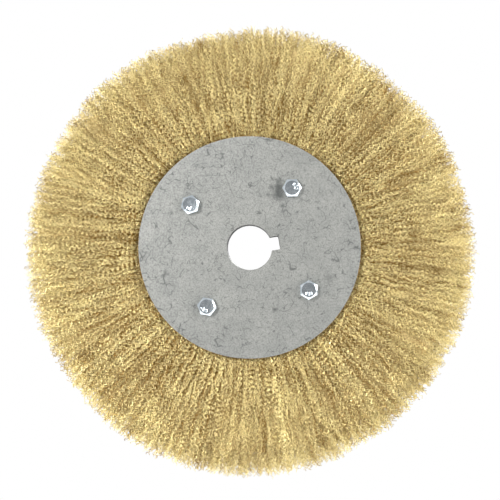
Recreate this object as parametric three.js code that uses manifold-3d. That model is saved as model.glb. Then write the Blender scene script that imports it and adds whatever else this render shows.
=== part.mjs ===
// Crimped brass wire wheel for a grinding or polishing spindle: a bolted stack of three wire
// sections on a keyed steel hub.
//
// Frame: millimetres, origin at the wheel's centre, spin axis along Y, front (bolt heads) at -Y,
// +Z up, keyway towards +X. The four bolts stand halfway between the X and Z axes.

import * as THREE from 'three';
import { mergeVertices } from 'three/addons/utils/BufferGeometryUtils.js';
import Module from 'manifold-3d';

const wasm = await Module();
wasm.setup();

// ---------- driving dimensions, mm ----------
const plateRadius = 65;
const plateThickness = 3;
const boreRadius = 13.3;
const keywayWidth = 8;
const keywayDepthFromAxis = 17.8;
const keywayCornerRadius = 0.8;

const sectionCount = 3;
const discThickness = 6;
const discRadius = 50;
const faceGap = 0.2; // between pieces that are clamped face to face
const sideGap = 0.3; // between a piece and what surrounds it

const ringThickness = 3.6; // of the steel core ring that the wires are folded over, both ways
const wireRadius = 130; // mean reach of the wire tips
const wireRimWidth = 34; // of the whole brush, at its rim
const wireFlareRadius = 67; // where the wires leave the plates and begin to spread
const rimRounding = 2.5;
const innerRimRounding = 0.6; // where two sections meet at the rim
const foldThickness = 1; // of the wires where they pass round the core ring

const boltCount = 4;
const boltCircleRadius = 42.5;
const boltRadius = 3; // M6
const boltHoleRadius = boltRadius + sideGap;
const boltLength = 35;
const boltEndChamfer = 0.8;
const headHeight = 4;
const nutHeight = 5;
const hexAcrossFlats = 10;
const hexFaceRadius = 4.15; // flat circle left on a hexagon's face by its 30 degree chamfer
const hexChamferAngle = Math.PI / 6;
const washerThickness = 1.6;
const washerOuterRadius = 5.6;
const washerSplitAngle = 0.24;
const headTurns = [0.67, 0.37, 0.84, 0.16]; // how far each head was left turned, radians
const nutTurns = [0.2, 0.75, 0.5, 0.95];

const plateSegments = 96;
const discSegments = 56;
const wireSegments = 48;
const ringSegments = 36;
const smallSegments = 14;
const arcSteps = 3;
const boreSteps = 40;
const flareSteps = 3;

// ---------- derived places along the axis ----------
const discPitch = discThickness + faceGap;
const stackHalf = (sectionCount * discPitch - faceGap) / 2;
const plateInner = stackHalf + faceGap;
const plateOuter = plateInner + plateThickness;
const headSeat = plateOuter + faceGap;
const nutSeat = plateOuter + washerThickness + 2 * faceGap;

// ---------- materials ----------
function metal(color, roughness) {
  return new THREE.MeshStandardMaterial({ color, roughness, metalness: 1 });
}

const sheetSteel = metal('#a9aaa6', 0.55);
const hubSteel = metal('#8f918f', 0.5);
const ringSteel = metal('#7d7f80', 0.45);
const zinc = metal('#bfc4cc', 0.3);
const brass = metal('#c4ab72', 0.4);

// ---------- shared shapes ----------
function circlePath(x, y, radius, segments) {
  const points = [];
  for (let i = 0; i < segments; i += 1) {
    const angle = (2 * Math.PI * i) / segments;
    points.push(new THREE.Vector2(x + radius * Math.cos(angle), y + radius * Math.sin(angle)));
  }
  return points;
}

function boltAngle(index) {
  return Math.PI / 4 + (2 * Math.PI * index) / boltCount;
}

// Bore and keyway as one outline, counterclockwise from the keyway's upper mouth.
function keyedBorePath() {
  const half = keywayWidth / 2;
  const mouth = Math.asin(half / boreRadius);
  const points = [];
  for (let i = 0; i <= boreSteps; i += 1) {
    const angle = mouth + ((2 * Math.PI - 2 * mouth) * i) / boreSteps;
    points.push(new THREE.Vector2(boreRadius * Math.cos(angle), boreRadius * Math.sin(angle)));
  }
  for (const side of [-1, 1]) {
    const start = side < 0 ? -Math.PI / 2 : 0;
    for (let i = 0; i <= arcSteps; i += 1) {
      const angle = start + ((Math.PI / 2) * i) / arcSteps;
      const x = keywayDepthFromAxis - keywayCornerRadius + keywayCornerRadius * Math.cos(angle);
      const y = side * (half - keywayCornerRadius) + keywayCornerRadius * Math.sin(angle);
      points.push(new THREE.Vector2(x, y));
    }
  }
  return points;
}

// A flat disc with the keyed bore and the bolt holes, from yMin to yMin + thickness.
function keyedDisc(radius, thickness, segments, yMin) {
  const shape = new THREE.Shape(circlePath(0, 0, radius, segments));
  shape.holes.push(new THREE.Path(keyedBorePath()));
  for (let i = 0; i < boltCount; i += 1) {
    const x = boltCircleRadius * Math.cos(boltAngle(i));
    const z = boltCircleRadius * Math.sin(boltAngle(i));
    shape.holes.push(new THREE.Path(circlePath(x, z, boltHoleRadius, smallSegments)));
  }
  const geometry = new THREE.ExtrudeGeometry(shape, { depth: thickness, bevelEnabled: false });
  // the shape's Y becomes +Z, and the extrusion runs towards -Y
  geometry.rotateX(Math.PI / 2);
  geometry.translate(0, yMin + thickness, 0);
  return geometry;
}

function lathe(outline, segments) {
  const points = outline.map(([radius, y]) => new THREE.Vector2(radius, y));
  return new THREE.LatheGeometry(points, segments);
}

function toSolid(geometry) {
  const bare = geometry.clone();
  bare.deleteAttribute('normal');
  bare.deleteAttribute('uv');
  const merged = mergeVertices(bare, 1e-4);
  const vertProperties = new Float32Array(merged.attributes.position.array);
  const triVerts = new Uint32Array(merged.index.array);
  return new wasm.Manifold(new wasm.Mesh({ numProp: 3, vertProperties, triVerts }));
}

function toGeometry(solid) {
  const mesh = solid.getMesh();
  const geometry = new THREE.BufferGeometry();
  geometry.setAttribute('position', new THREE.BufferAttribute(mesh.vertProperties, 3));
  geometry.setIndex(new THREE.BufferAttribute(mesh.triVerts, 1));
  geometry.computeVertexNormals();
  return geometry;
}

// ---------- hexagons ----------
// A hexagonal prism from y = 0 to y = height, chamfered on the faces asked for.
function hexPrism(height, chamferLow, chamferHigh) {
  const corner = hexAcrossFlats / Math.sqrt(3);
  const prism = new THREE.CylinderGeometry(corner, corner, height, 6);
  prism.translate(0, height / 2, 0);
  const reach = corner + 1;
  const drop = (reach - hexFaceRadius) * Math.tan(hexChamferAngle);
  const low = chamferLow ? [[hexFaceRadius, 0], [reach, drop]] : [[reach, 0]];
  const high = chamferHigh ? [[reach, height - drop], [hexFaceRadius, height]] : [[reach, height]];
  const turned = lathe([[0, 0], ...low, ...high, [0, height]], 2 * smallSegments);
  return toSolid(prism).intersect(toSolid(turned));
}

// Bolt with its head's underside at y = 0, the head towards -Y and the shank towards +Y.
function boltGeometry() {
  const head = hexPrism(headHeight, true, false).translate([0, -headHeight, 0]);
  const shank = lathe(
    [
      [0, -headHeight / 2],
      [boltRadius, -headHeight / 2],
      [boltRadius, boltLength - boltEndChamfer],
      [boltRadius - boltEndChamfer, boltLength],
      [0, boltLength],
    ],
    smallSegments,
  );
  return toGeometry(head.add(toSolid(shank)));
}

function nutGeometry() {
  const hole = new THREE.CylinderGeometry(boltHoleRadius, boltHoleRadius, 3 * nutHeight, smallSegments);
  return toGeometry(hexPrism(nutHeight, true, true).subtract(toSolid(hole)));
}

// Spring washer: a ring with one narrow split, from y = 0 to its thickness.
function springWasherGeometry() {
  const shape = new THREE.Shape();
  const start = washerSplitAngle / 2;
  const end = 2 * Math.PI - start;
  shape.absarc(0, 0, washerOuterRadius, start, end, false);
  shape.absarc(0, 0, boltHoleRadius, end, start, true);
  shape.closePath();
  const options = { depth: washerThickness, bevelEnabled: false, curveSegments: smallSegments };
  const geometry = new THREE.ExtrudeGeometry(shape, options);
  geometry.rotateX(Math.PI / 2);
  geometry.translate(0, washerThickness, 0);
  return geometry;
}

// ---------- wire sections ----------
// Half the brush's width at a radius: parallel between the plates, then springing open and
// levelling off at the rim.
function brushHalfWidth(radius) {
  const spread = Math.max(0, (radius - wireFlareRadius) / (wireRadius - wireFlareRadius));
  return stackHalf + (wireRimWidth / 2 - stackHalf) * spread * (2 - spread);
}

// Section side walls share the brush's width evenly, with the face gap between neighbours.
function sectionSide(index, side, radius) {
  const edge = index + (side > 0 ? 1 : 0);
  const share = (2 * edge) / sectionCount - 1;
  const isOuter = edge === 0 || edge === sectionCount;
  return share * brushHalfWidth(radius) - (isOuter ? 0 : (side * faceGap) / 2);
}

// The free part of a section's side wall, from the plates' edge to where the rim's rounding begins.
function flaredWall(index, side, rounding) {
  const points = [];
  for (let i = 0; i <= flareSteps; i += 1) {
    const radius = wireFlareRadius + ((wireRadius - rounding - wireFlareRadius) * i) / flareSteps;
    points.push([radius, sectionSide(index, side, radius)]);
  }
  return points;
}

// One section: the bundle of radial wires as a solid ring. Its inner edge is folded round the core
// ring, as a groove that is open towards the hub disc.
function wireSectionGeometry(index) {
  const inner = discRadius + sideGap;
  const grooveFloor = inner + foldThickness + ringThickness + sideGap;
  const grooveHalf = ringThickness / 2 + sideGap;
  const low = sectionSide(index, -1, inner);
  const high = sectionSide(index, 1, inner);
  const middle = (low + high) / 2;
  const lowRounding = index === 0 ? rimRounding : innerRimRounding;
  const highRounding = index === sectionCount - 1 ? rimRounding : innerRimRounding;
  return lathe(
    [
      [inner, low],
      ...flaredWall(index, -1, lowRounding),
      [wireRadius, sectionSide(index, -1, wireRadius) + lowRounding],
      [wireRadius, sectionSide(index, 1, wireRadius) - highRounding],
      ...flaredWall(index, 1, highRounding).reverse(),
      [inner, high],
      [inner, middle + grooveHalf],
      [grooveFloor, middle + grooveHalf],
      [grooveFloor, middle - grooveHalf],
      [inner, middle - grooveHalf],
      [inner, low],
    ],
    wireSegments,
  );
}

// Core ring of six-sided section, centred in its wire section.
function coreRingGeometry(index) {
  const inner = discRadius + sideGap;
  const middle = (sectionSide(index, -1, inner) + sectionSide(index, 1, inner)) / 2;
  const half = ringThickness / 2;
  const centre = inner + foldThickness + half;
  const outline = [];
  for (let i = 0; i <= 6; i += 1) {
    const angle = (Math.PI * i) / 3;
    outline.push([centre + half * Math.cos(angle), middle + half * Math.sin(angle)]);
  }
  outline[6] = outline[0];
  return lathe(outline, ringSegments);
}

// ---------- assembly ----------
const wheel = new THREE.Group();

function addPiece(name, geometry, material, parent = wheel) {
  const piece = new THREE.Mesh(geometry, material);
  piece.name = name;
  parent.add(piece);
  return piece;
}

function addPlates() {
  const front = keyedDisc(plateRadius, plateThickness, plateSegments, -plateOuter);
  const rear = keyedDisc(plateRadius, plateThickness, plateSegments, plateInner);
  addPiece('front_plate', front, sheetSteel);
  addPiece('rear_plate', rear, sheetSteel);
}

function addSections() {
  for (let i = 0; i < sectionCount; i += 1) {
    const number = i + 1;
    const disc = keyedDisc(discRadius, discThickness, discSegments, -stackHalf + i * discPitch);
    addPiece(`hub_disc_${number}`, disc, hubSteel);
    addPiece(`core_ring_${number}`, coreRingGeometry(i), ringSteel);
    addPiece(`wire_section_${number}`, wireSectionGeometry(i), brass);
  }
}

// Each bolt's group stands on the bolt circle; its pieces turn about the bolt's own axis.
function addBolts() {
  for (let i = 0; i < boltCount; i += 1) {
    const number = i + 1;
    const place = new THREE.Group();
    const angle = boltAngle(i);
    place.position.set(boltCircleRadius * Math.cos(angle), 0, boltCircleRadius * Math.sin(angle));
    wheel.add(place);
    const bolt = addPiece(`bolt_${number}`, boltGeometry(), zinc, place);
    bolt.position.y = -headSeat;
    bolt.rotation.y = headTurns[i];
    const washer = addPiece(`spring_washer_${number}`, springWasherGeometry(), zinc, place);
    washer.position.y = plateOuter + faceGap;
    washer.rotation.y = nutTurns[i] + Math.PI / 2;
    const nut = addPiece(`nut_${number}`, nutGeometry(), zinc, place);
    nut.position.y = nutSeat;
    nut.rotation.y = nutTurns[i];
  }
}

addPlates();
addSections();
addBolts();

export default wheel;
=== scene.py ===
"""Looks of the crimped brass wire wheel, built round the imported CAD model.

Lengths are in millimetres and become metres where a mesh, a texture or the camera is made. The lamps'
places and sizes are in metres. The wheel spins about Y, its bolt heads face -Y, and an angle is counted
from +X towards +Z.
"""

import math

import bpy
import numpy as np
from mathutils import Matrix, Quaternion, Vector


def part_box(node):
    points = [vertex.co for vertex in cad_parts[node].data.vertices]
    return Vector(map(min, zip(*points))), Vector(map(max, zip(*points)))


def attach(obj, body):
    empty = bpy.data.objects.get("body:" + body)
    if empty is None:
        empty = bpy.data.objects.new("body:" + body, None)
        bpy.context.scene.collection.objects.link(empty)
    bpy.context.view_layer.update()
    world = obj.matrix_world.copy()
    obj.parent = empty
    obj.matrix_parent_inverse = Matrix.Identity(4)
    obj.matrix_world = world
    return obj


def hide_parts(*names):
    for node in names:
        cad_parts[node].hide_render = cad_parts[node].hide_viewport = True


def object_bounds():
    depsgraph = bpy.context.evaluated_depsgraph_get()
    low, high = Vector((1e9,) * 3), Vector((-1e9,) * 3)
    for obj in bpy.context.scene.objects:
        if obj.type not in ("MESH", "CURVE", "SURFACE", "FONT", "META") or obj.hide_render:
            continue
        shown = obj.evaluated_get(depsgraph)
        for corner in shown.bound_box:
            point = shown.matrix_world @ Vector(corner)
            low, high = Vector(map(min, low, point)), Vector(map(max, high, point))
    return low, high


MM = 0.001
TURN = 2 * math.pi

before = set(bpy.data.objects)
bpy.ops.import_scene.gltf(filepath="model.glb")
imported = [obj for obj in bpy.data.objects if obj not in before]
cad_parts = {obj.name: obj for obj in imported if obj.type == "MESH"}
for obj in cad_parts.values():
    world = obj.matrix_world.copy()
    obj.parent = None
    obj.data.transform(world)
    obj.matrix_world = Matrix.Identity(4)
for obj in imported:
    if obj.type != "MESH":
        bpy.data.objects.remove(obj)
cad_low, cad_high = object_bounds()
random = np.random.default_rng(11)


def box_mm(node):
    low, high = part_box(node)
    return low / MM, high / MM


# ---------- places and sizes taken from the frame ----------
plate_low, plate_high = box_mm("front_plate")
brush_low, brush_high = box_mm("wire_section_1")
disc_low, disc_high = box_mm("hub_disc_1")
PLATE_RADIUS = plate_high.x
PLATE_FACE = -plate_low.y
STACK_HALF = -disc_low.y
HUB_RADIUS = disc_high.x
BRUSH_RADIUS = brush_high.x
RIM_HALF = -brush_low.y
SECTIONS = 3
BOLTS = 4

# ---------- wires ----------
FLARE_START = PLATE_RADIUS + 1
WIRE_THICKNESS = 0.43
CRIMP_LENGTH = 2.75
CRIMP_HEIGHT = 0.78
CRIMP_STEPS = 4
RIM_CRIMP_STEPS = 3
RIM_FRAY = 6.0
RIM_SHOULDER = 2.5
TIP_REACH = BRUSH_RADIUS + 2.9
FACE_WIRES = 2550
RIM_WIRES = 7800
RIM_WIRE_START = (103, 114)
RIM_SECTORS = 3
FACE_SECTORS = 8
FACE_DEPTH = 3.2
FACE_LEAST_DEPTH = 1.0
FACE_WIRE_START = (PLATE_RADIUS - 2, PLATE_RADIUS - 1)
RIM_WIRE_DEPTH = 0.8
WIRES_PER_CLUMP = 3
RIM_WIRES_PER_CLUMP = 2
WANDER_LENGTH = 12.0
WANDER_HEIGHT = 0.75
WIRE_SHADES = 8
MEAN_SHADE = 3.75
# painted light: the wires grow paler towards their tips, where they stand open to the light
PAINTED_LIGHT_OUTWARDS = 1.4
# painted highlight and shade: each wire is paler on its crimp crests and browner on the slopes between
# them
PAINTED_CREST_LIGHT_AND_SHADE = 3.5
BLOTCH_SIZE = 8.0
BLOTCH_CELLS = 64
BLOTCH_GRID = random.normal(0, 1, (BLOTCH_CELLS, BLOTCH_CELLS))
# low places in the rim, each an angle and a width in degrees, and a depth in mm
RIM_DIPS = (
    (93, 12, 2.4),
    (38, 6, 2.4),
    (8, 5, 2.2),
    (141, 7, 1.0),
    (291, 3, 1.6),
    (309, 3, 1.6),
    (207, 8, 1.5),
)
RIM_SWELL = 2.2
RIM_SWELL_ANGLE = math.radians(272)

# ---------- the dense body under the loose wires ----------
PACKED_COLUMNS = 540
PACKED_STEPS = 34
PACKED_SUNK = FACE_DEPTH - 0.6
PACKED_INSET = 11
PACKED_RIPPLE = 0.28

# ---------- marks on the plate ----------
# smudges as (x, z, size, strength), and scratches from one (x, z) to another
PLATE_SMUDGES = (
    (21.5, 27.6, 5.6, 1.0),
    (22.4, 31.5, 4.2, 0.9),
    (22.8, 35.4, 3.0, 0.8),
    (18.6, 32.4, 3.2, 0.6),
    (16.0, 28.6, 2.6, 0.6),
    (11.5, 28.2, 1.6, 0.4),
    (22.7, 20.8, 2.0, 0.8),
    (34.5, 22.5, 2.0, 0.5),
    (43.0, -25.0, 4.5, 0.5),
    (8.7, -38.3, 2.1, 1.0),
)
PLATE_SCRATCHES = (
    ((-22.4, 45.8), (-7.3, 44.0)),
    ((-7.3, 44.0), (-4.2, 30.5)),
)
SCRATCH_WIDTH = 0.6

# ---------- fastener sizes ----------
HEAD_TURNS = (0.67, 0.37, 0.84, 0.16)
MARK_ANGLES = (15, 262, 225, 262)
MARK_SPREAD = 34
MARK_RADIUS = 2.4
MARK_HALF_WIDTH, MARK_HALF_LENGTH = 0.5, 1.0
MARK_EDGE = 0.25
MARK_HEIGHT = 0.16
NUT_TURNS = (0.2, 0.75, 0.5, 0.95)
ACROSS_FLATS = 10.0
HEX_FACE_RADIUS = 4.15
HEX_CHAMFER = math.radians(30)
HEAD_HEIGHT = 4.0
BOLT_RADIUS = 3.0
THREAD_PITCH = 1.0
THREAD_DEPTH = 0.54
THREADED_LENGTH = 14.0
THREAD_ROWS_PER_PITCH = 8
HEAD_DISH = 0.10
HEX_COLUMNS = 120

# ---------- camera, lights and floor ----------
CAMERA_DISTANCE = 700
CAMERA_RIGHT, CAMERA_UP = 8.5, -12.0
CAMERA_ROLL = math.radians(9.3)
SENSOR = 36.0
VIEW_WIDTH = 291.9
AIM_RIGHT, AIM_UP = 0.3, -1.6
# the tent's brightness from straight out at the sides (0) to straight in front or behind (1)
TENT = ((0.0, 0.45), (0.3, 0.7), (0.6, 0.7), (0.88, 0.27))
# lamps as name, place and size in metres, and power in watts; the rear pair is the front pair
# turned half way round the wheel's upright
LAMPS = (
    ("key_front", (-0.5, -1.0, 0.34), 0.3, 12),
    ("fill_front", (0.85, -0.7, 0.1), 0.7, 11),
    ("key_rear", (0.5, 1.0, 0.34), 0.3, 12),
    ("fill_rear", (-0.85, 0.7, 0.1), 0.7, 11),
)
FLOOR_DROP, FLOOR_REACH = 400, 1200


# ---------- the brush's outline ----------
def brush_half_width(radius):
    """Half the brush's width: parallel between the plates, then springing open to the rim."""
    spread = np.clip((radius - FLARE_START) / (BRUSH_RADIUS - FLARE_START), 0, 1.1)
    return STACK_HALF + (RIM_HALF - STACK_HALF) * spread * (2 - spread)


def rim_radius(angle):
    """How far the longest wires reach at an angle."""
    reach = TIP_REACH + RIM_SWELL * np.cos(angle - RIM_SWELL_ANGLE)
    for degrees, width, depth in RIM_DIPS:
        away = np.degrees(np.angle(np.exp(1j * (angle - math.radians(degrees)))))
        reach = reach - depth * np.exp(-((away / width) ** 2))
    return reach


# ---------- mesh helpers ----------
def make_mesh(name, points, faces):
    """A mesh object from an (n, 3) array in mm and a list or array of faces."""
    mesh = bpy.data.meshes.new(name)
    mesh.from_pydata((np.asarray(points) * MM).tolist(), [], np.asarray(faces, dtype=object).tolist())
    mesh.validate()
    piece = bpy.data.objects.new(name, mesh)
    bpy.context.scene.collection.objects.link(piece)
    return piece


def grid_faces(rows, columns, closed_rows=False):
    """Quads between neighbouring rings of points, each ring closed on itself."""
    faces = []
    for i in range(rows if closed_rows else rows - 1):
        below = i * columns
        above = ((i + 1) % rows) * columns
        for j in range(columns):
            k = (j + 1) % columns
            faces.append((below + j, below + k, above + k, above + j))
    return faces


def skin_rings(name, rings, closed=False):
    """A closed solid from rings of points: capped at both ends, or joined end to end."""
    rings = np.asarray(rings)
    rows, columns = rings.shape[:2]
    faces = grid_faces(rows, columns, closed)
    if not closed:
        faces.append(tuple(reversed(range(columns))))
        faces.append(tuple(range((rows - 1) * columns, rows * columns)))
    return make_mesh(name, rings.reshape(-1, 3), faces)


def smooth(piece, sharp_degrees):
    mesh = piece.data
    mesh.polygons.foreach_set("use_smooth", np.ones(len(mesh.polygons), dtype=bool))
    mesh.set_sharp_from_angle(angle=math.radians(sharp_degrees))


def finish_piece(piece, slot, materials, *replaced):
    for material in materials:
        piece.data.materials.append(material)
    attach(piece, "root")
    if replaced:
        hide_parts(*replaced)


# ---------- material helpers ----------
def new_material(name, colour, metallic, roughness):
    material = bpy.data.materials.new(name)
    material.use_nodes = True
    material.diffuse_color = (*colour, 1)
    shader = material.node_tree.nodes["Principled BSDF"]
    shader.inputs["Base Color"].default_value = (*colour, 1)
    shader.inputs["Metallic"].default_value = metallic
    shader.inputs["Roughness"].default_value = roughness
    return material, shader


def add_node(material, kind, values=None, **settings):
    """A node with its settings, and its inputs given as values or as sockets to link from."""
    tree = material.node_tree
    node = tree.nodes.new(kind)
    for name, setting in settings.items():
        setattr(node, name, setting)
    for name, value in (values or {}).items():
        if isinstance(value, bpy.types.NodeSocket):
            tree.links.new(value, node.inputs[name])
        else:
            node.inputs[name].default_value = value
    return node


def object_coordinates(material):
    return add_node(material, "ShaderNodeTexCoord").outputs["Object"]


def noise(material, place, size_mm, detail=3.0, roughness=0.55, distortion=0.0):
    """Noise whose blobs are about size_mm across."""
    values = {
        "Vector": place,
        "Scale": 1 / (size_mm * MM),
        "Detail": detail,
        "Roughness": roughness,
        "Distortion": distortion,
    }
    return add_node(material, "ShaderNodeTexNoise", values).outputs["Fac"]


def remap(material, value, low, high, to_low, to_high):
    """Smoothly maps low..high to to_low..to_high, and holds the ends."""
    values = {
        "Value": value,
        "From Min": low,
        "From Max": high,
        "To Min": to_low,
        "To Max": to_high,
    }
    node = add_node(material, "ShaderNodeMapRange", values, interpolation_type="SMOOTHSTEP")
    return node.outputs["Result"]


def maths(material, operation, first, second):
    node = add_node(material, "ShaderNodeMath", {0: first, 1: second}, operation=operation)
    return node.outputs[0]


def vector_maths(material, operation, first, second):
    return add_node(material, "ShaderNodeVectorMath", {0: first, 1: second}, operation=operation)


def blend_colours(material, factor, first, second):
    """Mixes two colours, each a tuple or a socket."""
    tree = material.node_tree
    node = add_node(material, "ShaderNodeMix", {0: factor}, data_type="RGBA")
    for socket, colour in ((node.inputs[6], first), (node.inputs[7], second)):
        if isinstance(colour, bpy.types.NodeSocket):
            tree.links.new(colour, socket)
        else:
            socket.default_value = (*colour, 1)
    return node.outputs[2]


def add_bump(material, shader, height, depth_mm, strength=1.0):
    values = {"Height": height, "Distance": depth_mm * MM, "Strength": strength}
    bump = add_node(material, "ShaderNodeBump", values)
    material.node_tree.links.new(bump.outputs["Normal"], shader.inputs["Normal"])


# ---------- materials ----------
def thin_lines(material, place, size_mm, width, breaks_mm):
    """Curly hairlines: the level lines of a noise, broken into short runs by another noise."""
    wave = noise(material, place, size_mm, detail=1.2, distortion=0.5)
    level = maths(material, "ABSOLUTE", maths(material, "SUBTRACT", wave, 0.5), 0.0)
    line = remap(material, level, 0.0, width, 1.0, 0.0)
    gate = remap(material, noise(material, place, breaks_mm, detail=1.0), 0.48, 0.58, 0.0, 1.0)
    return maths(material, "MULTIPLY", line, gate)


def on_front_plate(x, z):
    return Vector((x, -PLATE_FACE, z)) * MM


def smudge(material, place, x, z, size_mm):
    """A soft dark spot on the plate, centred at (x, z) in mm, with a ragged edge."""
    away = vector_maths(material, "DISTANCE", place, on_front_plate(x, z)).outputs["Value"]
    ragged = maths(
        material, "MULTIPLY_ADD", noise(material, place, 1.6, detail=4.0), -size_mm * MM * 0.9
    )
    ragged.node.inputs[2].default_value = size_mm * MM * 0.45
    reach = maths(material, "ADD", away, ragged)
    return remap(material, reach, 0.0, size_mm * MM, 1.0, 0.0)


def scratch(material, place, start, end):
    """A thin straight scratch on the front plate, between two points given as (x, z) in mm."""
    first = on_front_plate(*start)
    run = on_front_plate(*end) - first
    offset = vector_maths(material, "SUBTRACT", place, first).outputs["Vector"]
    share = vector_maths(material, "DOT_PRODUCT", offset, run / run.length_squared).outputs["Value"]
    share = maths(material, "MINIMUM", maths(material, "MAXIMUM", share, 0.0), 1.0)
    nearest = vector_maths(material, "MULTIPLY", share, run).outputs["Vector"]
    away = vector_maths(material, "DISTANCE", offset, nearest).outputs["Value"]
    return remap(material, away, 0.0, SCRATCH_WIDTH * MM, 1.0, 0.0)


def plate_steel_material():
    """Dull rolled sheet: cloudy grey, fine grain, curly handling scratches and a few dark smudges."""
    light, dark = (0.276, 0.279, 0.261), (0.236, 0.24, 0.226)
    material, shader = new_material("plate_steel", light, 0.45, 0.5)
    place = object_coordinates(material)
    coarse = noise(material, place, 14, detail=5.0, roughness=0.65)
    clouds = remap(material, coarse, 0.35, 0.65, 0, 1)
    colour = blend_colours(material, clouds, light, dark)
    fine = noise(material, place, 0.9, detail=4.0, roughness=0.8)
    grain = remap(material, fine, 0.38, 0.66, 0, 0.6)
    colour = blend_colours(material, grain, colour, (0.09, 0.093, 0.088))
    marks = maths(
        material,
        "MAXIMUM",
        thin_lines(material, place, 9, 0.018, 7),
        thin_lines(material, place, 4, 0.032, 4),
    )
    faint = maths(material, "MULTIPLY", marks, 0.8)
    colour = blend_colours(material, faint, colour, (0.06, 0.063, 0.06))
    for x, z, size_mm, strength in PLATE_SMUDGES:
        spot = maths(material, "MULTIPLY", smudge(material, place, x, z, size_mm), strength)
        colour = blend_colours(material, spot, colour, (0.07, 0.074, 0.07))
    for start, end in PLATE_SCRATCHES:
        line = maths(material, "MULTIPLY", scratch(material, place, start, end), 0.45)
        colour = blend_colours(material, line, colour, (0.08, 0.084, 0.08))
    tree = material.node_tree
    tree.links.new(colour, shader.inputs["Base Color"])
    tree.links.new(remap(material, grain, 0, 0.6, 0.42, 0.6), shader.inputs["Roughness"])
    height = maths(material, "SUBTRACT", grain, marks)
    add_bump(material, shader, height, 0.03, 0.6)
    return material


def shaded_turned_steel_material():
    """Machined steel of the hub discs: fine rings with a little cloudiness, coloured far darker than bare
    steel as painted shade for the shadowed bore.
    """
    # painted shade: the near-black base colour stands in for the shadow inside the bore
    material, shader = new_material("turned_steel_painted_shade", (0.075, 0.075, 0.073), 0.4, 0.65)
    place = object_coordinates(material)
    clouds = remap(material, noise(material, place, 5, detail=4.0), 0.3, 0.7, 0, 1)
    colour = blend_colours(material, clouds, (0.075, 0.075, 0.073), (0.04, 0.04, 0.038))
    material.node_tree.links.new(colour, shader.inputs["Base Color"])
    stretched = add_node(
        material, "ShaderNodeMapping", {"Vector": place, "Scale": (0.15, 6.0, 0.15)}
    ).outputs["Vector"]
    add_bump(material, shader, noise(material, stretched, 1.2, detail=2.0), 0.03, 0.5)
    return material


def zinc_material():
    """Bright zinc plate: bluish white, a little uneven."""
    material, shader = new_material("bright_zinc", (0.71, 0.78, 0.83), 1.0, 0.2)
    place = object_coordinates(material)
    clouds = remap(material, noise(material, place, 2.2, detail=4.0), 0.3, 0.7, 0, 1)
    colour = blend_colours(material, clouds, (0.75, 0.81, 0.85), (0.6, 0.67, 0.72))
    material.node_tree.links.new(colour, shader.inputs["Base Color"])
    roughness = remap(material, noise(material, place, 1.2, detail=2.0), 0.3, 0.7, 0.15, 0.24)
    material.node_tree.links.new(roughness, shader.inputs["Roughness"])
    return material


def packed_wire_material():
    """The depth of the brush, seen between the outer wires: speckled brass whose dark specks are painted
    shade in the gaps between wires, darkest near the plates as painted shade.
    """
    material, shader = new_material("packed_wire", (0.3, 0.2, 0.07), 0.9, 0.5)
    place = object_coordinates(material)
    speckle = remap(material, noise(material, place, 0.8, detail=3.0, roughness=0.7), 0.35, 0.65, 0, 1)
    flat = vector_maths(material, "MULTIPLY", place, (1, 0, 1)).outputs["Vector"]
    radius = vector_maths(material, "DISTANCE", flat, (0, 0, 0)).outputs["Value"]
    outward = remap(material, radius, PLATE_RADIUS * MM, BRUSH_RADIUS * MM, 0, 1)
    # painted shade: dark gaps between the wires, and both gaps and crests darker towards the plates, deep
    # in the brush
    painted_gap_shade = blend_colours(material, outward, (0.08, 0.045, 0.014), (0.5, 0.37, 0.15))
    crests = blend_colours(material, outward, (0.5, 0.34, 0.12), (0.85, 0.7, 0.36))
    colour = blend_colours(material, speckle, painted_gap_shade, crests)
    material.node_tree.links.new(colour, shader.inputs["Base Color"])
    add_bump(material, shader, speckle, 0.4, 0.8)
    return material


def wire_materials():
    """Brass wire in a few shades, from brown to pale, as drawn wire varies along a coil; the same shades
    also carry painted light and painted shade along the wires.
    """
    browned_and_shaded, pale = np.array((0.30, 0.165, 0.035)), np.array((0.985, 0.85, 0.43))
    shades = []
    for i in range(WIRE_SHADES):
        share = i / (WIRE_SHADES - 1)
        colour = tuple(browned_and_shaded + (pale - browned_and_shaded) * share)
        shades.append(new_material(f"brass_wire_{i + 1}", colour, 0.92, 0.3)[0])
    return shades


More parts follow.
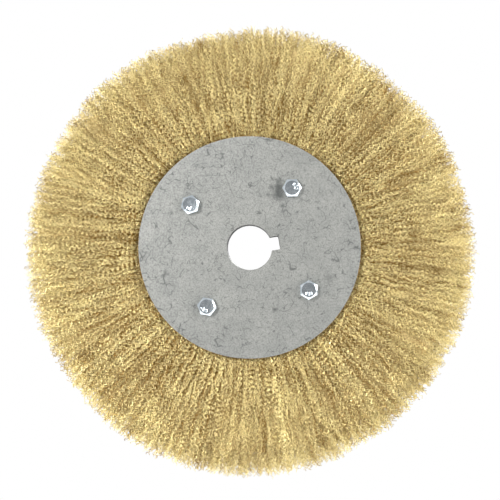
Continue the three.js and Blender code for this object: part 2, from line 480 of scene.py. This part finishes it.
# ---------- the brush ----------
def wire_shape(count, per_clump, start, share_of_width, depth):
    """Random values for a set of wires; wires of one clump lean and crimp alike."""
    clump_count = max(1, count // per_clump)
    clump = np.arange(count) % clump_count

    def by_clump(values, spread):
        return values[clump] + random.normal(0, spread, count)

    pitch = TURN / clump_count
    clump_angle = (np.arange(clump_count) + random.uniform(-0.4, 0.4, clump_count)) * pitch
    angle = clump_angle[clump] + random.uniform(-0.8, 0.8, count) * pitch
    share = share_of_width(count)
    begin = random.uniform(*start, count)
    tuft = np.minimum(random.normal(0, 1.0, clump_count), 1.2)
    fray = random.exponential(RIM_FRAY, count) + RIM_SHOULDER * np.abs(share) ** 4
    tip = rim_radius(angle) - fray + tuft[clump]
    return {
        "angle": angle,
        "start": begin,
        "tip": np.maximum(tip, begin + 2 * CRIMP_LENGTH),
        "share": share,
        "depth": depth(count),
        "lean": by_clump(random.normal(0, 0.07, clump_count), 0.02),
        "lift": random.normal(0, 0.012, count),
        "bend": by_clump(random.normal(0, 1.8, clump_count), 0.8),
        "plane": by_clump(random.normal(0, 0.35, clump_count), 0.3),
        "phase": by_clump(random.uniform(0, TURN, clump_count), 0.5),
        "period": CRIMP_LENGTH * by_clump(random.normal(1, 0.06, clump_count), 0.03),
        "height": CRIMP_HEIGHT * by_clump(random.uniform(0.8, 1.2, clump_count), 0.08),
        "wander": random.uniform(0, TURN, count),
        "wander_length": WANDER_LENGTH * random.uniform(0.7, 1.5, count),
        "thickness": WIRE_THICKNESS * random.uniform(0.85, 1.15, count),
        "shade": by_clump(random.normal(MEAN_SHADE, 0.5, clump_count), 1.9),
    }


def crimp_wave(each, radius):
    return np.sin(TURN * (radius - each["start"]) / each["period"] + each["phase"])


def wire_paths(wires, steps):
    """Centre lines, as an array of wires by steps by 3."""
    each = {name: values[:, None] for name, values in wires.items()}
    along = np.linspace(0, 1, steps)[None, :]
    radius = each["start"] + (each["tip"] - each["start"]) * along
    free = np.clip((radius - PLATE_RADIUS) / (BRUSH_RADIUS - PLATE_RADIUS), 0, None)
    loose = np.clip((radius - PLATE_RADIUS + 3.0) / 5.0, 0.2, 1.0)
    crimp = crimp_wave(each, radius) * each["height"] * loose
    sideways = each["lean"] * (radius - FLARE_START) + each["bend"] * free**2
    wander = TURN * radius / each["wander_length"] + each["wander"]
    sideways = sideways + crimp * np.cos(each["plane"]) + WANDER_HEIGHT * loose * np.cos(wander * 0.8)
    room = brush_half_width(radius) - RIM_SHOULDER * np.clip((free - 0.8) / 0.25, 0, 1) ** 2
    axial = each["share"] * (room - each["depth"])
    axial = axial + each["lift"] * (radius - FLARE_START) * (free > 0) + crimp * np.sin(each["plane"])
    axial = axial + WANDER_HEIGHT * loose * np.sin(wander)
    x = radius * np.cos(each["angle"]) - sideways * np.sin(each["angle"])
    z = radius * np.sin(each["angle"]) + sideways * np.cos(each["angle"])
    return np.stack([x, axial, z], axis=2)


def tube_points(paths, thickness):
    """Three points round each point of each centre line."""
    ahead = np.gradient(paths, axis=1)
    ahead /= np.linalg.norm(ahead, axis=2, keepdims=True)
    across = np.cross(ahead, np.array((0.0, 1.0, 0.0)))
    across /= np.linalg.norm(across, axis=2, keepdims=True)
    upward = np.cross(ahead, across)
    rounds = []
    for k in range(3):
        turn = TURN * k / 3
        offset = across * math.cos(turn) + upward * math.sin(turn)
        rounds.append(paths + offset * (thickness / 2)[:, None, None])
    return np.stack(rounds, axis=2)


def tube_faces(wire_count, steps):
    """Corner numbers of all side quads, then of all end triangles, and the size of each face."""
    wire = np.arange(wire_count)[:, None, None]
    step = np.arange(steps - 1)[None, :, None]
    side = np.arange(3)[None, None, :]
    base = (wire * steps + step) * 3
    following = (side + 1) % 3
    quads = np.stack([base + side, base + following, base + 3 + following, base + 3 + side], axis=3)
    first = np.arange(wire_count)[:, None] * steps * 3
    near = first + np.array((2, 1, 0))[None, :]
    far = first + (steps - 1) * 3 + np.array((0, 1, 2))[None, :]
    loops = np.concatenate([quads.reshape(-1), near.reshape(-1), far.reshape(-1)])
    quad_count = wire_count * (steps - 1) * 3
    sizes = np.concatenate([np.full(quad_count, 4), np.full(2 * wire_count, 3)])
    return loops, sizes


def blotches(x, z):
    """Smooth random patches over the wheel's face, with a mean of 0."""
    column, row = x / BLOTCH_SIZE, z / BLOTCH_SIZE
    left, low = np.floor(column).astype(int), np.floor(row).astype(int)
    across, up = column - left, row - low
    across, up = across**2 * (3 - 2 * across), up**2 * (3 - 2 * up)
    left, low = left % BLOTCH_CELLS, low % BLOTCH_CELLS
    right, high = (left + 1) % BLOTCH_CELLS, (low + 1) % BLOTCH_CELLS
    lower = BLOTCH_GRID[left, low] * (1 - across) + BLOTCH_GRID[right, low] * across
    upper = BLOTCH_GRID[left, high] * (1 - across) + BLOTCH_GRID[right, high] * across
    return lower * (1 - up) + upper * up


def face_shades(wires, paths):
    """The shade of each face of the tubes: browner in blotches, paler near the tips as painted light, and
    paler on the crimp crests and browner between them as painted highlight and shade.
    """
    each = {name: values[:, None] for name, values in wires.items()}
    middle = (paths[:, 1:] + paths[:, :-1]) / 2
    x, z = middle[..., 0], middle[..., 2]
    radius = np.hypot(x, z)
    outward = np.clip((radius - PLATE_RADIUS) / (BRUSH_RADIUS - PLATE_RADIUS), 0, 1)
    # painted light: paler towards the tips
    shade = each["shade"] + PAINTED_LIGHT_OUTWARDS * outward**2 + 0.8 * blotches(x, z)
    # painted highlight on the crimp crests and painted shade on the slopes, strongest near the plates
    shade = shade + PAINTED_CREST_LIGHT_AND_SHADE * (1.2 - outward) * crimp_wave(each, radius)
    shade = np.clip(np.rint(shade), 0, WIRE_SHADES - 1).astype(np.int32)
    return np.concatenate([np.repeat(shade.reshape(-1), 3), shade[:, 0], shade[:, -1]])


def wire_mesh(name, wires, steps):
    paths = wire_paths(wires, steps)
    points = tube_points(paths, wires["thickness"]).reshape(-1, 3) * MM
    loops, sizes = tube_faces(len(paths), steps)
    mesh = bpy.data.meshes.new(name)
    mesh.vertices.add(len(points))
    mesh.vertices.foreach_set("co", points.astype(np.float32).ravel())
    mesh.loops.add(len(loops))
    mesh.loops.foreach_set("vertex_index", loops.astype(np.int32))
    mesh.polygons.add(len(sizes))
    starts = np.concatenate([[0], np.cumsum(sizes)[:-1]])
    mesh.polygons.foreach_set("loop_start", starts.astype(np.int32))
    mesh.polygons.foreach_set("material_index", face_shades(wires, paths))
    mesh.polygons.foreach_set("use_smooth", np.ones(len(sizes), dtype=bool))
    mesh.update(calc_edges=True)
    piece = bpy.data.objects.new(name, mesh)
    bpy.context.scene.collection.objects.link(piece)
    return piece


def steps_for(length, steps_per_crimp):
    return int(math.ceil(length / CRIMP_LENGTH * steps_per_crimp)) + 1


def add_wires(label, wires, steps, sectors, shades, node):
    """Makes the wires as one piece for each sector of the wheel."""
    sector = (np.mod(wires["angle"], TURN) / TURN * sectors).astype(int) % sectors
    for i in range(sectors):
        chosen = {name: values[sector == i] for name, values in wires.items()}
        piece = wire_mesh(f"{label}_{i + 1}", chosen, steps)
        finish_piece(piece, "brass_wire", shades, node)


def add_brush(shades, packed):
    face_steps = steps_for(BRUSH_RADIUS - PLATE_RADIUS, CRIMP_STEPS)
    rim_steps = steps_for(BRUSH_RADIUS - min(RIM_WIRE_START), RIM_CRIMP_STEPS)
    for number, side in ((1, -1), (SECTIONS, 1)):
        face = wire_shape(
            FACE_WIRES,
            WIRES_PER_CLUMP,
            FACE_WIRE_START,
            lambda count, side=side: np.full(count, float(side)),
            lambda count: random.uniform(FACE_LEAST_DEPTH, FACE_DEPTH, count),
        )
        add_wires(f"face_wires_{number}", face, face_steps, FACE_SECTORS, shades, f"wire_section_{number}")
    for number in range(1, SECTIONS + 1):
        low = 2 * (number - 1) / SECTIONS - 1
        rim = wire_shape(
            RIM_WIRES // SECTIONS,
            RIM_WIRES_PER_CLUMP,
            RIM_WIRE_START,
            lambda count, low=low: random.uniform(low, low + 2 / SECTIONS, count),
            lambda count: np.full(count, RIM_WIRE_DEPTH),
        )
        add_wires(f"rim_wires_{number}", rim, rim_steps, RIM_SECTORS, shades, f"wire_section_{number}")
        add_packed_section(number, packed)


def add_packed_section(number, packed):
    """The dense body of one section, a ring that stays a little under the loose outer wires."""
    low_share = 2 * (number - 1) / SECTIONS - 1
    high_share = low_share + 2 / SECTIONS
    inner, outer = HUB_RADIUS + 0.3, BRUSH_RADIUS - PACKED_INSET
    outline = []
    for share, radii in (
        (low_share, np.linspace(inner, outer, PACKED_STEPS)),
        (high_share, np.linspace(outer, inner, PACKED_STEPS)),
    ):
        for radius in radii:
            sunk = PACKED_SUNK if radius > PLATE_RADIUS else 0.4
            half = brush_half_width(radius) - sunk
            outline.append((radius, share * half))
    outline = np.array(outline)
    angle = np.arange(PACKED_COLUMNS) * TURN / PACKED_COLUMNS
    ripple = random.normal(0, PACKED_RIPPLE, (len(outline), PACKED_COLUMNS))
    ripple = (ripple + np.roll(ripple, 1, axis=1)) / 1.4
    clamped = outline[:, 0] <= PLATE_RADIUS
    ripple[clamped] = 0
    radius = outline[:, :1] + ripple
    y = outline[:, 1:] + np.zeros((1, PACKED_COLUMNS))
    rings = np.stack([radius * np.cos(angle), y, radius * np.sin(angle)], axis=2)
    piece = skin_rings(f"packed_wires_{number}", rings, closed=True)
    smooth(piece, 60)
    finish_piece(piece, "brass_wire", [packed], f"wire_section_{number}")


# ---------- fasteners ----------
def hex_angles(turn):
    """Angles round a hexagon that start on one of its corners."""
    return math.pi / 2 - turn + np.arange(HEX_COLUMNS) * TURN / HEX_COLUMNS


def hex_radius():
    """The hexagon's radius at each of hex_angles()."""
    step = np.mod(np.arange(HEX_COLUMNS) * TURN / HEX_COLUMNS, TURN / 6)
    return ACROSS_FLATS / 2 / np.cos(step - TURN / 12)


def ring_at(angles, radius, y):
    radius = np.broadcast_to(radius, angles.shape)
    y = np.broadcast_to(y, angles.shape)
    return np.stack([radius * np.cos(angles), y, radius * np.sin(angles)], axis=1)


def chamfer_drop(radius):
    return np.maximum(radius - HEX_FACE_RADIUS, 0) * math.tan(HEX_CHAMFER)


def head_relief(angles, radius, mark_angle):
    """Three plain raised bars side by side on the head's face, where a strength mark would be."""
    height = np.zeros_like(angles)
    for degrees in (mark_angle - MARK_SPREAD, mark_angle, mark_angle + MARK_SPREAD):
        along = radius * np.cos(angles - math.radians(degrees))
        aside = radius * np.sin(angles - math.radians(degrees))
        bar = np.clip((MARK_HALF_WIDTH - np.abs(aside)) / MARK_EDGE, 0, 1)
        reach = np.clip((MARK_HALF_LENGTH - np.abs(along - MARK_RADIUS)) / MARK_EDGE, 0, 1)
        height = np.maximum(height, MARK_HEIGHT * bar * reach)
    return height


def bolt_rings(turn, mark_angle, length):
    """Rings from the head's face, over its chamfer and flats, down the shank to the thread's end."""
    angles = hex_angles(turn)
    rings = []
    for radius in np.linspace(0.25, HEX_FACE_RADIUS - 0.12, 22):
        dish = HEAD_DISH * (1 - (radius / HEX_FACE_RADIUS) ** 2)
        relief = head_relief(angles, radius, mark_angle)
        rings.append(ring_at(angles, radius, -HEAD_HEIGHT + dish - relief))
    for share in np.linspace(0, 1, 5):
        radius = HEX_FACE_RADIUS + (hex_radius() - 0.06 - HEX_FACE_RADIUS) * share
        rings.append(ring_at(angles, radius, -HEAD_HEIGHT + chamfer_drop(radius)))
    flats = hex_radius()
    rings.append(ring_at(angles, flats, -HEAD_HEIGHT + chamfer_drop(flats) + 0.05))
    rings.append(ring_at(angles, flats, -0.25))
    rings.append(ring_at(angles, flats - 0.2, 0.0))
    rings.append(ring_at(angles, BOLT_RADIUS, 0.0))
    thread_start = length - THREADED_LENGTH
    for y in np.linspace(0.5, thread_start, 3):
        rings.append(ring_at(angles, BOLT_RADIUS, y))
    rings += thread_rings(angles, thread_start, length)
    return rings


def thread_rings(angles, start, end):
    """A right-hand thread that fades in at its start and is chamfered at its end."""
    rings = []
    rows = int((end - start) / THREAD_PITCH * THREAD_ROWS_PER_PITCH)
    for i in range(1, rows + 1):
        y = start + (end - start) * i / rows
        phase = np.mod(y / THREAD_PITCH + angles / TURN, 1)
        groove = THREAD_DEPTH * (1 - np.abs(2 * phase - 1))
        fade = min(1, (y - start) / THREAD_PITCH)
        limit = BOLT_RADIUS - max(0, y - (end - 0.8))
        rings.append(ring_at(angles, np.minimum(BOLT_RADIUS - groove * fade, limit), y))
    return rings


def nut_rings(turn, height):
    """Rings from the bore's front edge, round the outside, and back through the bore."""
    angles = hex_angles(turn)
    bore = BOLT_RADIUS + 0.08
    rings = [ring_at(angles, bore, 0.5), ring_at(angles, bore + 0.45, 0.0)]
    for share in np.linspace(0, 1, 5):
        radius = HEX_FACE_RADIUS + (hex_radius() - HEX_FACE_RADIUS) * share
        rings.append(ring_at(angles, radius, chamfer_drop(radius)))
    for share in np.linspace(1, 0, 5):
        radius = HEX_FACE_RADIUS + (hex_radius() - HEX_FACE_RADIUS) * share
        rings.append(ring_at(angles, radius, height - chamfer_drop(radius)))
    rings.append(ring_at(angles, bore + 0.45, height))
    rings.append(ring_at(angles, bore, height - 0.5))
    return rings


def add_fasteners(zinc):
    for i in range(BOLTS):
        number = i + 1
        low, high = box_mm(f"bolt_{number}")
        centre = (low + high) / 2
        length = high.y - low.y - HEAD_HEIGHT
        place = np.array((centre.x, low.y + HEAD_HEIGHT, centre.z))
        rings = np.array(bolt_rings(HEAD_TURNS[i], MARK_ANGLES[i], length)) + place
        bolt = skin_rings(f"zinc_bolt_{number}", rings)
        smooth(bolt, 28)
        finish_piece(bolt, "zinc_fastener", [zinc], f"bolt_{number}")
        low, high = box_mm(f"nut_{number}")
        place = np.array((centre.x, low.y, centre.z))
        rings = np.array(nut_rings(NUT_TURNS[i], high.y - low.y)) + place
        nut = skin_rings(f"zinc_nut_{number}", rings, closed=True)
        smooth(nut, 28)
        finish_piece(nut, "zinc_fastener", [zinc], f"nut_{number}")


# ---------- CAD nodes that stay ----------
def dress(node, material, edge_mm):
    """Gives a CAD node its material, and breaks its sharp edges a little."""
    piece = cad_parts[node]
    for slot in piece.material_slots:
        slot.link = "OBJECT"
        slot.material = material
    weld = piece.modifiers.new("weld", "WELD")
    weld.merge_threshold = 0.01 * MM
    bevel = piece.modifiers.new("edges", "BEVEL")
    bevel.width = edge_mm * MM
    bevel.segments = 2
    bevel.limit_method = "ANGLE"
    bevel.angle_limit = math.radians(40)
    bevel.harden_normals = True


def dress_nodes(plate, turned, zinc):
    for node in ("front_plate", "rear_plate"):
        dress(node, plate, 0.08)
    # the hub discs and core rings get the darkened turned steel, painted shade for the bore
    for i in range(1, SECTIONS + 1):
        dress(f"hub_disc_{i}", turned, 0.12)
        dress(f"core_ring_{i}", turned, 0.1)
    for i in range(1, BOLTS + 1):
        dress(f"spring_washer_{i}", zinc, 0.12)


# ---------- stage, lights, camera ----------
def add_camera():
    """Looks straight at the front plate; its roll shows the wheel turned a little on its axis."""
    right = Vector((math.cos(CAMERA_ROLL), 0, -math.sin(CAMERA_ROLL)))
    up = Vector((math.sin(CAMERA_ROLL), 0, math.cos(CAMERA_ROLL)))
    face = Vector((0, -PLATE_FACE, 0))
    spot = face + right * CAMERA_RIGHT + up * CAMERA_UP - Vector((0, CAMERA_DISTANCE, 0))
    aim = face + right * AIM_RIGHT + up * AIM_UP
    data = bpy.data.cameras.new("camera")
    data.sensor_width = SENSOR
    data.lens = SENSOR * CAMERA_DISTANCE / VIEW_WIDTH
    data.clip_start = 0.01
    camera = bpy.data.objects.new("camera", data)
    camera.location = spot * MM
    camera.rotation_mode = "QUATERNION"
    level = (aim - spot).to_track_quat("-Z", "Y")
    camera.rotation_quaternion = level @ Quaternion((0, 0, 1), -CAMERA_ROLL)
    bpy.context.scene.collection.objects.link(camera)
    bpy.context.scene.camera = camera


def add_light(name, place, size, power):
    """A soft square lamp that points at the wheel's centre; place and size in metres."""
    data = bpy.data.lights.new(name, "AREA")
    data.size = size
    data.energy = power
    lamp = bpy.data.objects.new(name, data)
    lamp.location = place
    lamp.rotation_mode = "QUATERNION"
    lamp.rotation_quaternion = (-Vector(place)).to_track_quat("-Z", "Y")
    bpy.context.scene.collection.objects.link(lamp)


def add_world():
    """White to the camera. On the wheel, a tent: bright round the sides, dim in front and behind."""
    world = bpy.data.worlds.new("studio")
    bpy.context.scene.world = world
    world.use_nodes = True
    background = world.node_tree.nodes["Background"]
    background.inputs["Color"].default_value = (1, 1, 1, 1)
    towards = add_node(world, "ShaderNodeTexCoord").outputs["Generated"]
    facing = add_node(world, "ShaderNodeSeparateXYZ", {0: towards}).outputs["Y"]
    facing = maths(world, "ABSOLUTE", facing, 0.0)
    tent = add_node(world, "ShaderNodeValToRGB", {0: facing})
    stops = tent.color_ramp.elements
    while len(stops) < len(TENT):
        stops.new(1.0)
    for stop, (position, brightness) in zip(stops, TENT):
        stop.position = position
        stop.color = (brightness, brightness, brightness, 1)
    seen = add_node(world, "ShaderNodeLightPath").outputs["Is Camera Ray"]
    strength = maths(world, "MAXIMUM", seen, tent.outputs["Color"])
    world.node_tree.links.new(strength, background.inputs["Strength"])


def add_floor():
    """A plain pale floor, well below the wheel, which is held up by its shaft."""
    material = bpy.data.materials.new("floor_white")
    material.use_nodes = True
    shader = material.node_tree.nodes["Principled BSDF"]
    shader.inputs["Base Color"].default_value = (0.9, 0.9, 0.9, 1)
    shader.inputs["Roughness"].default_value = 0.9
    shader.inputs["Emission Color"].default_value = (1, 1, 1, 1)
    shader.inputs["Emission Strength"].default_value = 0.3
    depth = cad_low.z / MM - FLOOR_DROP
    sides = ((-1, -1), (1, -1), (1, 1), (-1, 1))
    corners = [(x * FLOOR_REACH, y * FLOOR_REACH, depth) for x, y in sides]
    floor = make_mesh("floor", corners, [(0, 1, 2, 3)])
    floor.data.materials.append(material)


def main():
    bpy.context.scene.view_settings.view_transform = "Standard"
    add_camera()
    zinc = zinc_material()
    dress_nodes(plate_steel_material(), shaded_turned_steel_material(), zinc)
    add_brush(wire_materials(), packed_wire_material())
    add_fasteners(zinc)
    add_floor()
    for lamp in LAMPS:
        add_light(*lamp)
    add_world()


main()
